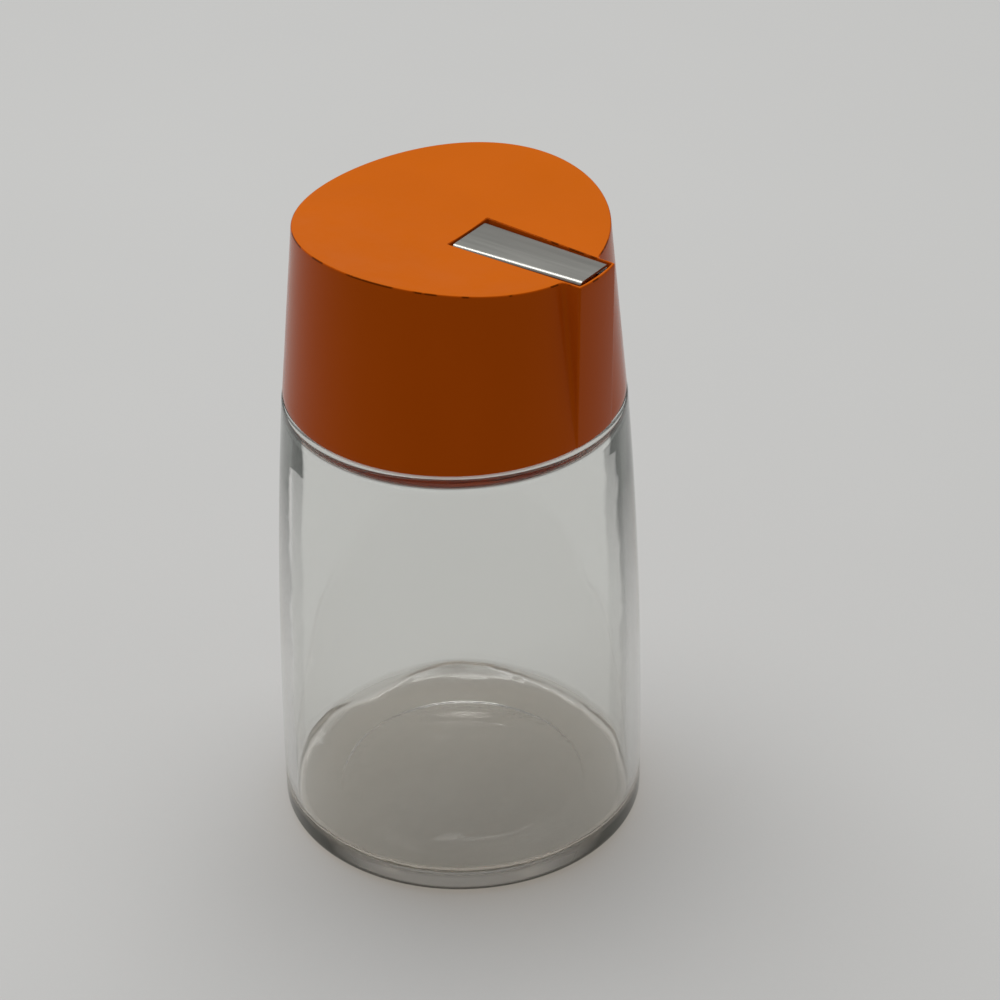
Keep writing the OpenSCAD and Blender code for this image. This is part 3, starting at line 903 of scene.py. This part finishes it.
def make_flap(flap):
    """Sheet bent down along both sides, with an ear on each side at the pin"""
    start_x, end_r = FLAP_LOW.x, FLAP_HIGH.x
    t, r = flap.sheet_t, flap.bend_r
    stations = sorted(
        set(np.round(np.linspace(start_x, end_r, 25), 7))
        | set(np.round(PIN_X + flap.ear_r * np.linspace(-1, 1, 17), 7))
    )

    def side_low(x):
        plain = flap.top_z - flap.side_h
        away = abs(x - PIN_X)
        if away >= flap.ear_r:
            return plain
        return min(plain, PIN_Z - math.sqrt(flap.ear_r**2 - away**2))

    def section(share):
        """One cross-section: outer skin from side to side, then the inner skin back"""
        half_w = flap.half_w + share * (flap.end_half_w - flap.half_w)
        outer, inner = [], []
        for skin, radius, steps in ((outer, r, 8), (inner, r - t, 6)):
            for a in np.radians(np.linspace(180, 90, steps)):
                skin.append((-half_w + r + radius * math.cos(a), radius * math.sin(a) - r))
            skin += [(-y, z) for y, z in reversed(skin)]
            skin.insert(0, (skin[0][0], None))
            skin.append((skin[-1][0], None))
        ring = []
        for y, z in outer + inner[::-1]:
            x = start_x + share * (math.sqrt(end_r**2 - y * y) - start_x)
            top = flap.top_z + (x - start_x) * math.tan(math.radians(flap.rise))
            ring.append((x, y, side_low(x) if z is None else top + z))
        return ring

    rings = [section((x - start_x) / (end_r - start_x)) for x in stations]
    around = len(rings[0])
    points = [p for ring in rings for p in ring]
    faces = []
    for level in range(len(rings) - 1):
        for i in range(around):
            j = (i + 1) % around
            faces.append((level * around + i, level * around + j, (level + 1) * around + j, (level + 1) * around + i))
    outer_n = 18
    last = (len(rings) - 1) * around
    # the two cut ends are strips between the outer and the inner skin
    inner_of = [around - 1 - round(i * (around - outer_n - 1) / (outer_n - 1)) for i in range(outer_n)]
    for start, flip in ((0, False), (last, True)):
        for i in range(outer_n - 1):
            a, b, c, d = start + i, start + i + 1, start + inner_of[i + 1], start + inner_of[i]
            loop = [a, b, c, d] if c != d else [a, b, c]
            faces.append(tuple(loop if flip else reversed(loop)))
    mesh = bpy.data.meshes.new("flap_sheet")
    mesh.from_pydata(points, [], faces)
    face_outwards(mesh)
    piece = add_piece("flap_sheet", mesh)
    combine(piece, bore_mesh(PIN_R + flap.pin_gap, 2 * flap.half_w), "DIFFERENCE")
    smooth_below(piece.data, 35)
    piece.data.materials.clear()
    piece.data.materials.append(steel_material("brushed_sheet", flap.steel, 0.32))
    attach(piece, "flap")
    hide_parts("flap")


def make_pin(flap):
    """Drawn wire pin with chamfered ends"""
    half = PIN_HIGH.y
    chamfer = 0.15 * MM
    end_r = PIN_R - chamfer
    profile = [(end_r, -half), (PIN_R, -half + chamfer), (PIN_R, half - chamfer), (end_r, half)]
    rings = []
    for radius, y in profile:
        ring = []
        for a in np.linspace(0, 2 * math.pi, 40, endpoint=False):
            ring.append((PIN_X + radius * math.cos(a), y, PIN_Z + radius * math.sin(a)))
        rings.append(ring)
    mesh = skin_rings("pin_wire", rings, ((PIN_X, -half, PIN_Z), (PIN_X, half, PIN_Z)))
    smooth_below(mesh, 35)
    mesh.materials.append(steel_material("drawn_wire", flap.steel, 0.3))
    piece = add_piece("pin_wire", mesh)
    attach(piece, "lid")
    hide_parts("hinge_pin")


# ---------------------------------------------------------------- stage


def make_floor(stage):
    half = stage.floor_size / 2
    mesh = bpy.data.meshes.new("floor")
    z = -0.1 * MM
    mesh.from_pydata([(-half, -half, z), (half, -half, z), (half, half, z), (-half, half, z)], [], [(0, 1, 2, 3)])
    mesh.materials.append(floor_material(stage))
    add_piece("floor", mesh)


def add_lamp(name, position, aim, size, power):
    """Soft square lamp that points at a place"""
    data = bpy.data.lights.new(name, "AREA")
    data.shape = "RECTANGLE"
    data.size, data.size_y = size
    data.energy = power
    lamp = bpy.data.objects.new(name, data)
    bpy.context.scene.collection.objects.link(lamp)
    lamp.location = position
    lamp.rotation_euler = (Vector(aim) - Vector(position)).to_track_quat("-Z", "Y").to_euler()


def make_world():
    """Plain room: paler where the camera sees it than where it lights the object"""
    world = bpy.data.worlds.new("room")
    bpy.context.scene.world = world
    world.use_nodes = True
    graph = Graph(world.node_tree)
    graph.nodes.clear()
    seen = graph.add("ShaderNodeBackground", Color=(0.56, 0.56, 0.55, 1))
    room = graph.add("ShaderNodeBackground", Color=(0.28, 0.28, 0.28, 1))
    path = graph.add("ShaderNodeLightPath").outputs
    mix = graph.add("ShaderNodeMixShader", path["Is Camera Ray"], room.outputs[0], seen.outputs[0])
    graph.add("ShaderNodeOutputWorld", Surface=mix.outputs[0])


def make_camera(stage):
    data = bpy.data.cameras.new("camera")
    data.lens = stage.lens
    data.sensor_width = 36
    data.clip_start = 0.01
    camera = bpy.data.objects.new("camera", data)
    bpy.context.scene.collection.objects.link(camera)
    turn = math.radians(stage.azimuth)
    tilt = math.radians(stage.elevation)
    away = stage.camera_distance
    heading = Matrix.Rotation(turn, 4, "Z")
    place = heading @ Vector((0, -away * math.cos(tilt), stage.aim_z + away * math.sin(tilt)))
    look = (
        Matrix.Rotation(turn - math.radians(stage.pan), 4, "Z")
        @ Matrix.Rotation(math.pi / 2 - tilt, 4, "X")
        @ Matrix.Rotation(math.radians(stage.roll), 4, "Z")
    )
    camera.matrix_world = Matrix.Translation(place) @ look
    bpy.context.scene.camera = camera


# ---------------------------------------------------------------- operators


class DISPENSER_OT_jar(bpy.types.Operator):
    """Build the glass jar"""

    bl_idname = "dispenser.jar"
    bl_label = "Glass jar"

    def execute(self, context):
        make_jar(context.scene.dispenser_jar)
        return {"FINISHED"}


class DISPENSER_OT_lid(bpy.types.Operator):
    """Build the moulded lid"""

    bl_idname = "dispenser.lid"
    bl_label = "Lid"

    def execute(self, context):
        make_lid(context.scene.dispenser_lid)
        return {"FINISHED"}


class DISPENSER_OT_flap(bpy.types.Operator):
    """Build the pouring flap and its hinge pin"""

    bl_idname = "dispenser.flap"
    bl_label = "Flap and pin"

    def execute(self, context):
        make_flap(context.scene.dispenser_flap)
        make_pin(context.scene.dispenser_flap)
        return {"FINISHED"}


class DISPENSER_OT_stage(bpy.types.Operator):
    """Build the floor, the lamps, the room and the camera"""

    bl_idname = "dispenser.stage"
    bl_label = "Stage"

    def execute(self, context):
        stage = context.scene.dispenser_stage
        make_camera(stage)
        make_floor(stage)
        make_world()
        # thick glass needs many bounces
        cycles = context.scene.cycles
        cycles.max_bounces = cycles.transmission_bounces = cycles.glossy_bounces = 40
        add_lamp("overhead", (-0.28, 0.22, 1.5), (0, 0, 0.05), (1.4, 1.1), 20)
        context.scene.view_settings.view_transform = "Standard"
        return {"FINISHED"}


class DISPENSER_PT_panel(bpy.types.Panel):
    """Lists the parts of the dispenser"""

    bl_idname = "DISPENSER_PT_panel"
    bl_label = "Sugar dispenser"
    bl_space_type = "VIEW_3D"
    bl_region_type = "UI"
    bl_category = "Dispenser"

    def draw(self, context):
        for operator in OPERATORS:
            self.layout.operator(operator.bl_idname)


SETTINGS = {
    "dispenser_jar": JarSettings,
    "dispenser_lid": LidSettings,
    "dispenser_flap": FlapSettings,
    "dispenser_stage": StageSettings,
}
OPERATORS = (DISPENSER_OT_stage, DISPENSER_OT_jar, DISPENSER_OT_lid, DISPENSER_OT_flap)


def register():
    for kind in (*SETTINGS.values(), *OPERATORS, DISPENSER_PT_panel):
        bpy.utils.register_class(kind)
    for name, kind in SETTINGS.items():
        setattr(bpy.types.Scene, name, bpy.props.PointerProperty(type=kind))


def unregister():
    for name in SETTINGS:
        delattr(bpy.types.Scene, name)
    for kind in (DISPENSER_PT_panel, *reversed(OPERATORS), *SETTINGS.values()):
        bpy.utils.unregister_class(kind)


def main():
    register()
    bpy.ops.dispenser.stage()
    bpy.ops.dispenser.jar()
    bpy.ops.dispenser.lid()
    bpy.ops.dispenser.flap()


if __name__ == "__main__":
    main()
